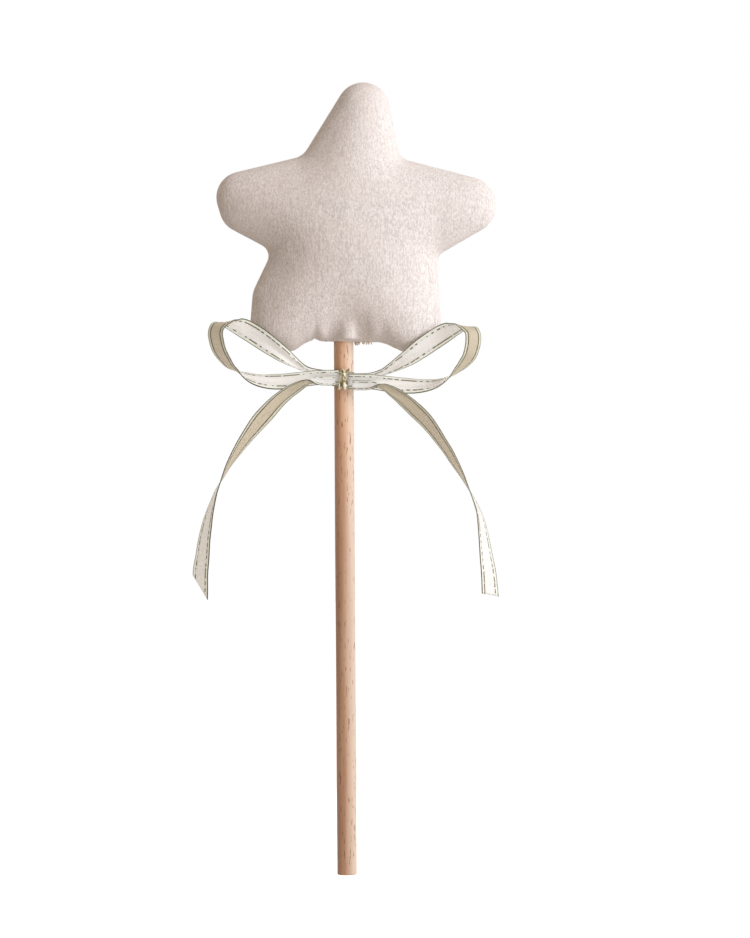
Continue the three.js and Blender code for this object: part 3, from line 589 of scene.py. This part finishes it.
# Neck: the fabric's sleeve over the dowel, the pucker that stands out there, gathers as depth, place and
# width, and the fullness and the valley round the middle of the neck
SLEEVE_RADIUS = 5.0
SLEEVE_TOP = 13.0
SLEEVE_FADE = 9.0
PUCKER_DEPTH = 8.2
PUCKER_SLOPE = 0.3
PUCKER_X = 2.2
PUCKER_LEFT = 5.2
PUCKER_RIGHT = 3.6
PUCKER_LIP = 0.4
PUCKER_TOP = 16.0
PUCKER_FADE = 10.0
GATHERS = [(0.3, -5.6, 2.4), (0.25, 8.5, 2.6), (0.15, -11.4, 1.6), (0.12, 15.5, 2.6)]
GATHER_RISE = 6.0
NECK_X = 1.0
NECK_FULLNESS = 0.55
FULL_WIDTH = 22.0
FULL_RISE = 11.0
VALLEY_DEPTH = 0.55
VALLEY_WIDTH = 8.5
VALLEY_RISE = 13.0

# Arms: thinner towards their ends, with a crease across the right one in front
TAPER = 0.3
TAPER_X = 3.0
TAPER_FROM = 15.0
TAPER_RUN = 40.0
CREASE_DEPTH = 1.1
CREASE_X, CREASE_WIDTH = 38.3, 4.5
CREASE_Z, CREASE_HEIGHT = 49.0, 13.0

# Lumps of the stuffing as depth, wavelength and seed, which fade out near the seam
LUMPS = [(0.3, 13.0, 1.7), (0.16, 5.5, 8.1)]
LUMP_EDGE = 6.0


def hump(value, middle, width):
    return np.exp(-((value - middle) / width) ** 2)


def star_circles(inset):
    centres = np.array([corner[:2] for corner in STAR_CORNERS], float)
    turns = np.array([-(r + inset) if valley else r - inset for _, _, r, valley in STAR_CORNERS], float)
    across = np.roll(centres, -1, axis=0) - centres
    lean = np.arcsin((np.roll(turns, -1) - turns) / np.linalg.norm(across, axis=1))
    headings = np.arctan2(across[:, 1], across[:, 0]) - lean
    sweeps = (headings - np.roll(headings, 1)) % (2 * math.pi)
    sweeps = np.where(turns < 0, sweeps - 2 * math.pi, sweeps)
    return centres, turns, headings, sweeps


def on_circle(centre, turn, heading):
    return centre + turn * np.array([math.sin(heading), -math.cos(heading)])


def star_outline(inset):
    """Points of the outline drawn in by an inset, with the same count for every inset."""
    plain_centres, plain_turns, _, plain_sweeps = star_circles(0.0)
    plain_run = np.roll(plain_centres, -1, axis=0) - plain_centres
    centres, turns, headings, sweeps = star_circles(inset)
    count = len(turns)
    points = []
    for i in range(count):
        steps = max(4, int(abs(plain_turns[i] * plain_sweeps[i]) / RIM_SPACING))
        start = headings[i - 1]
        for t in np.linspace(0, 1, steps + 1):
            points.append(on_circle(centres[i], turns[i], start + t * sweeps[i]))
        ahead = on_circle(centres[(i + 1) % count], turns[(i + 1) % count], headings[i])
        from_here = points[-1]
        gap = max(2, int(np.linalg.norm(plain_run[i]) / RIM_SPACING))
        for t in np.linspace(0, 1, gap + 1)[1:-1]:
            points.append(from_here * (1 - t) + ahead * t)
    points = np.array(points)
    hem = (points[:, 1] < HEM_RISE) & (np.abs(points[:, 0]) > SLEEVE_RADIUS)
    uneven = HEM_RAGGED * ripple(np.column_stack([points[:, 0], 0 * points]), 3.1, 5.3)
    notch = NOTCH_HEIGHT * hump(points[:, 0], NOTCH_X, NOTCH_WIDTH)
    points[:, 1] += np.where(hem, uneven + notch, 0)
    return points


RIM = star_outline(0.0)


def swell(points):
    """Soft distance to the outline: the true distance near an edge, smooth across the middle."""
    start = RIM
    along = np.roll(RIM, -1, axis=0) - RIM
    length = np.linalg.norm(along, axis=1)
    along = along / length[:, None]
    result = []
    for chunk in np.array_split(points, max(1, len(points) // 400)):
        offset = start[None] - chunk[:, None]
        first = np.sum(offset * along[None], axis=2)
        last = first + length[None]
        away = offset[..., 0] * along[None, :, 1] - offset[..., 1] * along[None, :, 0]
        away = np.maximum(away ** 2, 1e-6)
        near = (last / np.sqrt(last ** 2 + away) - first / np.sqrt(first ** 2 + away)) / away
        result.append(np.sqrt(2 / np.sum(near, axis=1)))
    return np.concatenate(result)


CENTRE_SWELL = swell(STAR_CENTRE[None])[0]


def star_depth(points, side):
    """How far the stuffed face stands off the seam plane."""
    x, z = points[:, 0], points[:, 1]
    crown = STAR_HEIGHT * (swell(points) / CENTRE_SWELL) ** CROWN_POWER
    rise = np.maximum(z, 0)
    gathers = sum(deep * hump(x, middle, width) for deep, middle, width in GATHERS)
    full = NECK_FULLNESS * hump(x, NECK_X, FULL_WIDTH) * hump(rise, 0, FULL_RISE)
    valley = VALLEY_DEPTH * hump(x, NECK_X, VALLEY_WIDTH) * hump(rise, 0, VALLEY_RISE)
    taper = TAPER * (np.clip(np.abs(x - TAPER_X) - TAPER_FROM, 0, None) / TAPER_RUN) ** 2
    crown = crown * (1 + full - taper) * (1 - valley) * (1 - gathers * hump(rise, 0, GATHER_RISE))
    if side < 0:
        crown = crown - CREASE_DEPTH * hump(x, CREASE_X, CREASE_WIDTH) * hump(z, CREASE_Z, CREASE_HEIGHT)
    fade = np.clip((SLEEVE_TOP - rise) / SLEEVE_FADE, 0, 1)
    sleeve = np.sqrt(np.maximum(SLEEVE_RADIUS ** 2 - x ** 2, 0)) * fade
    across = np.abs(x - PUCKER_X) / np.where(x < PUCKER_X, PUCKER_LEFT, PUCKER_RIGHT)
    pucker = (PUCKER_DEPTH + PUCKER_SLOPE * rise) * np.exp(-across ** 3) * (1 - hump(rise, 0, PUCKER_LIP))
    pucker = pucker * np.clip((PUCKER_TOP - rise) / PUCKER_FADE, 0, 1)
    depth = (np.maximum(crown, 0) ** 4 + sleeve ** 4 + pucker ** 4) ** 0.25
    at = np.column_stack([x, z, 0 * x])
    lumps = sum(deep * ripple(at, wavelength, seed + side) for deep, wavelength, seed in LUMPS)
    edge = np.clip(swell(points) / LUMP_EDGE, 0, 1)
    return SEAM_HALF_GAP + depth + lumps * edge


# Stuffing: a closed copy of the star swells under pressure, held along its seam, and the panels follow it.
# Rings of a panel lie at shares of the way from the star's centre to its outline, closer towards the outline.
SHARES = 1 - np.array([
    0.93, 0.86, 0.79, 0.72, 0.65, 0.585, 0.52, 0.46, 0.4, 0.345, 0.295, 0.25, 0.21, 0.175,
    0.145, 0.12, 0.098, 0.08, 0.064, 0.05, 0.038, 0.028, 0.02, 0.013, 0.008, 0.004, 0.0015,
])
SLACK_DEPTH = 0.9
CLOTH_VOXEL = 4.0
CLOTH_FRAMES = 20
CLOTH_PRESSURE = 2500.0
CLOTH_MASS = 0.02
CLOTH_CAP = 3.5  # furthest that a panel follows the cloth
SEAM_HOLD = 2.5
NECK_HOLD_WIDTH = 8.0
NECK_HOLD_HEIGHT = 6.0
FOLLOW_POINTS = 8
FOLLOW_EASE = 4.0
FOLLOW_EDGE = 7.0  # swell below which a panel follows less


def slack_star():
    """Closed copy of the star, shallower than it becomes."""
    count = len(RIM)
    rows = [RIM]
    depths = [np.zeros(count)]
    for share in SHARES[::-2]:
        ring = STAR_CENTRE + share * (RIM - STAR_CENTRE)
        rows.append(ring)
        depths.append(SLACK_DEPTH * star_depth(ring, -1))
    points = [np.column_stack([ring[:, 0], -depth, NECK_Z + ring[:, 1]]) for ring, depth in zip(rows, depths)]
    points += [p * (1, -1, 1) for p in points[1:]]
    half = len(rows)
    faces = []
    for k in range(len(points) - 1):
        inner, outer = k + 1, 0 if k + 1 == half else k
        for i in range(count):
            j = (i + 1) % count
            quad = (outer * count + i, outer * count + j, inner * count + j, inner * count + i)
            faces.append(quad if inner < half else quad[::-1])
    ends = [(half - 1) * count, (len(points) - 1) * count]
    faces.append(tuple(range(ends[0], ends[0] + count)))
    faces.append(tuple(range(ends[1], ends[1] + count))[::-1])
    return mesh_object("slack_star", np.vstack(points), faces, [LINEN])


def places_of(mesh):
    flat = np.empty(3 * len(mesh.vertices), np.float32)
    mesh.vertices.foreach_get("co", flat)
    return flat.reshape(-1, 3).astype(float) / MM


def stuffed_cloth():
    """Places of the slack cloth before and after the stuffing presses it out."""
    scene = bpy.context.scene
    cover = slack_star()
    remesh = cover.modifiers.new("remesh", "REMESH")
    remesh.mode = "VOXEL"
    remesh.voxel_size = CLOTH_VOXEL * MM
    slack = bpy.data.meshes.new_from_object(cover.evaluated_get(bpy.context.evaluated_depsgraph_get()))
    cover.modifiers.clear()
    cover.data = slack
    before = places_of(slack)
    seam = cover.vertex_groups.new(name="seam")
    neck = (np.abs(before[:, 0]) < NECK_HOLD_WIDTH) & (before[:, 2] < NECK_Z + NECK_HOLD_HEIGHT)
    held = (np.abs(before[:, 1]) < SEAM_HOLD) | neck
    seam.add([int(i) for i in np.flatnonzero(held)], 1.0, "REPLACE")
    cloth = cover.modifiers.new("cloth", "CLOTH")
    cloth.settings.use_pressure = True
    cloth.settings.uniform_pressure_force = CLOTH_PRESSURE
    cloth.settings.mass = CLOTH_MASS
    cloth.settings.effector_weights.gravity = 0.0
    cloth.settings.vertex_group_mass = "seam"
    cloth.point_cache.frame_start = 1
    cloth.point_cache.frame_end = CLOTH_FRAMES
    for number in range(1, CLOTH_FRAMES + 1):
        scene.frame_set(number)
    pressed = cover.evaluated_get(bpy.context.evaluated_depsgraph_get())
    after = places_of(pressed.data)
    bpy.data.objects.remove(cover)
    scene.frame_set(1)
    return before, after


def press_out(points, flat, cloth):
    """Panel points moved as the cloth near them moves, less towards the seam."""
    before, after = cloth
    moves = after - before
    reach = np.linalg.norm(moves, axis=1, keepdims=True)
    moves *= np.minimum(1, CLOTH_CAP / np.maximum(reach, 1e-9))
    tree = kdtree.KDTree(len(before))
    for i, place in enumerate(before):
        tree.insert(place, i)
    tree.balance()
    slack = points.copy()
    share = np.clip(swell(flat) / FOLLOW_EDGE, 0, 1)
    slack[:, 1] *= 1 - (1 - SLACK_DEPTH) * share
    for k, place in enumerate(slack):
        near = tree.find_n(place, FOLLOW_POINTS)
        weights = np.array([1 / (distance ** 2 + FOLLOW_EASE) for _, _, distance in near])
        move = weights @ moves[[index for _, index, _ in near]] / weights.sum()
        slack[k] += share[k] * move
    return slack


CLOTH = stuffed_cloth()

# Turned-in edge of a panel: how far in each ring lies, and its radius round the dowel
HEM_TURN = [
    (0.0, SLEEVE_RADIUS), (0.35, SLEEVE_RADIUS - 0.45),
    (0.9, SLEEVE_RADIUS - 0.75), (3.0, SLEEVE_RADIUS + 0.3),
]
HEM_TURN_TOP = 15.0


def star_piece(name, side):
    count = len(RIM)
    flat = [STAR_CENTRE[None]] + [STAR_CENTRE + share * (RIM - STAR_CENTRE) for share in SHARES]
    rows = []
    for ring in flat:
        depth = star_depth(ring, side)
        points = np.column_stack([ring[:, 0], side * depth, NECK_Z + ring[:, 1]])
        rows.append(points if CLOTH is None else press_out(points, ring, CLOTH))
    for inset, radius in HEM_TURN:
        ring = star_outline(inset)
        near = ring[:, 1] < HEM_TURN_TOP
        sleeve = np.where(near, np.sqrt(np.maximum(radius ** 2 - ring[:, 0] ** 2, 0)), 0)
        depth = np.maximum(SEAM_HALF_GAP, sleeve)
        rows.append(np.column_stack([ring[:, 0], side * depth, NECK_Z + ring[:, 1]]))
    faces = []
    starts = np.cumsum([0] + [len(row) for row in rows])
    order = 1 if side < 0 else -1
    for i in range(count):
        faces.append((0, 1 + i, 1 + (i + 1) % count)[::order])
    for k in range(1, len(rows) - 1):
        for i in range(count):
            j = (i + 1) % count
            faces.append((starts[k] + i, starts[k + 1] + i, starts[k + 1] + j, starts[k] + j)[::order])
    faces = [tuple(int(v) for v in face) for face in faces]
    return mesh_object(name, np.vstack(rows), faces, [LINEN])


for name, side, nodes in (
    ("star_front", -1, ("star_front_panel", "stuffing_front", "seam_needle_thread")),
    ("star_back", 1, ("star_back_panel", "stuffing_back", "seam_bobbin_thread")),
):
    face = star_piece(name, side)
    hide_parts(*nodes)
    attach(face, "wand")


# Whip stitches over the seam on both sides of the dowel, drawn up out of sight on the left
STITCHES = 7
STITCH_POINTS = 280
STITCH_FROM = 4.6
STITCH_PITCH = 0.95
STITCH_DROPS = [(1, 0.5), (-1, -0.55)]  # side of the dowel, and how far the stitches hang below the hem
STITCH_HALF_DEPTH = 1.15
STITCH_HALF_HEIGHT = 0.95
STITCH_RISE = 0.55
STITCH_UNEVEN = 0.7
STITCH_SWAY = 0.5
STITCHED_HEM = (22.0, 4.0)  # how far the hem runs to each side of the dowel, and how high
THREAD_RADIUS = 0.28
THREAD_SIDES = 8


def stitch_piece():
    points, faces = [], []
    sides = THREAD_SIDES
    hem = RIM[(RIM[:, 1] < STITCHED_HEM[1]) & (np.abs(RIM[:, 0]) < STITCHED_HEM[0])]
    hem = hem[np.argsort(hem[:, 0])]
    for mirror, drop in STITCH_DROPS:
        turns = np.linspace(0, STITCHES * 2 * math.pi, STITCH_POINTS)
        x = mirror * (STITCH_FROM + turns / (2 * math.pi) * STITCH_PITCH)
        uneven = STITCH_UNEVEN * ripple(np.column_stack([x, 0 * x, 0 * x]), 2.3, 2.7)
        rim = np.interp(x, hem[:, 0], hem[:, 1]) - drop + uneven
        x = x + STITCH_SWAY * ripple(np.column_stack([turns, 0 * x, 0 * x]), 2.1, 4.4)
        heights = NECK_Z + rim + STITCH_RISE - STITCH_HALF_HEIGHT * np.cos(turns)
        line = np.column_stack([x, STITCH_HALF_DEPTH * np.sin(turns), heights])
        tangents = unit(np.gradient(line, axis=0))
        first = unit(np.cross(tangents, [0.0, 0.0, 1.0]))
        second = np.cross(tangents, first)
        base = len(points)
        for k in range(len(line)):
            for i in range(sides):
                angle = 2 * math.pi * i / sides
                outward = first[k] * math.cos(angle) + second[k] * math.sin(angle)
                points.append(line[k] + THREAD_RADIUS * outward)
        for k in range(len(line) - 1):
            for i in range(sides):
                j = (i + 1) % sides
                a = base + k * sides
                faces.append((a + i, a + j, a + sides + j, a + sides + i))
        faces.append(tuple(base + i for i in range(sides))[::-1])
        faces.append(tuple(base + (len(line) - 1) * sides + i for i in range(sides)))
    return mesh_object("whip_stitches", np.array(points), faces, [THREAD])


stitches = stitch_piece()
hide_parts("closing_thread")
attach(stitches, "wand")


# Pieces inside the star keep their CAD shape
def finish_nodes(made, *names):
    for name in names:
        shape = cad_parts[name]
        shape.data.materials.clear()
        shape.data.materials.append(made)


finish_nodes(GLUE, "neck_glue")
finish_nodes(CAPSULE, "rattle_lid", "rattle_cup")
finish_nodes(PELLET, *(f"rattle_pellet_{number}" for number in range(1, 7)))


# Floor, well below the hand-held wand, and a white surround
FLOOR_Z = -90.0
FLOOR_HALF_WIDTH = 6000.0
FLOOR_SHOWN = 0.8  # added white where the camera sees the floor


def floor_material():
    made = bpy.data.materials.new("floor")
    made.use_nodes = True
    tree = made.node_tree
    tree.nodes.clear()
    path = node(tree, "LightPath")
    seen = calc(tree, "MAXIMUM", path.outputs["Is Camera Ray"], path.outputs["Is Glossy Ray"])
    matt = node(tree, "BsdfDiffuse", {"Color": rgb(196, 190, 184)}).outputs[0]
    level = calc(tree, "MULTIPLY", seen, FLOOR_SHOWN)
    glow = node(tree, "Emission", {"Color": (1, 1, 1, 1), "Strength": level}).outputs[0]
    both = node(tree, "AddShader", {0: matt, 1: glow}).outputs[0]
    node(tree, "OutputMaterial", {"Surface": both})
    return made


floor_signs = ((-1, -1), (1, -1), (1, 1), (-1, 1))
floor_corners = [(x * FLOOR_HALF_WIDTH, y * FLOOR_HALF_WIDTH, FLOOR_Z) for x, y in floor_signs]
floor = mesh_object("floor", floor_corners, [(0, 1, 2, 3)], [floor_material()])

WORLD_LOW = 0.28
WORLD_HIGH = 0.66
WORLD_COLOUR = (1.0, 0.84, 0.7, 1)

world = bpy.data.worlds.new("studio")
world.use_nodes = True
tree = world.node_tree
tree.nodes.clear()
path = node(tree, "LightPath")
heading = node(tree, "SeparateXYZ", {0: node(tree, "TexCoord").outputs["Generated"]})
level = ramp(tree, heading.outputs[2], -0.4, 0.9, WORLD_LOW, WORLD_HIGH)
soft = node(tree, "Background", {"Color": WORLD_COLOUR, "Strength": level}).outputs[0]
white = node(tree, "Background", {"Color": (1, 1, 1, 1), "Strength": 1.0}).outputs[0]
shown = node(tree, "MixShader", {0: path.outputs["Is Camera Ray"], 1: soft, 2: white}).outputs[0]
node(tree, "OutputWorld", {"Surface": shown})
bpy.context.scene.world = world


# Lamps: name, place and aim in metres, size in metres, power in watts and colour
LAMPS = [
    ("key", (1.15, -0.82, 0.76), (0, 0, 0.23), 0.8, 15.3, (0.93, 0.96, 1.0)),
    ("low", (0.75, -1.05, -0.02), (0, 0, 0.22), 0.6, 6.0, (1.0, 0.98, 0.97)),
    ("rim", (1.25, 0.45, 0.35), (0, 0, 0.2), 0.7, 4.0, (1.0, 0.99, 1.0)),
    ("back", (-0.1, 1.4, 0.6), (0, 0, 0.25), 0.8, 10.0, (1.0, 0.97, 0.95)),
]


def area_light(name, place, aim, size, power, colour):
    data = bpy.data.lights.new(name, "AREA")
    data.shape = "DISK"
    data.size = size
    data.energy = power
    data.color = colour
    lamp = bpy.data.objects.new(name, data)
    lamp.location = place
    lamp.rotation_euler = (Vector(aim) - Vector(place)).to_track_quat("-Z", "Y").to_euler()
    bpy.context.scene.collection.objects.link(lamp)


for lamp in LAMPS:
    area_light(*lamp)

bpy.context.scene.view_settings.view_transform = "Standard"
bpy.context.scene.view_settings.look = "None"
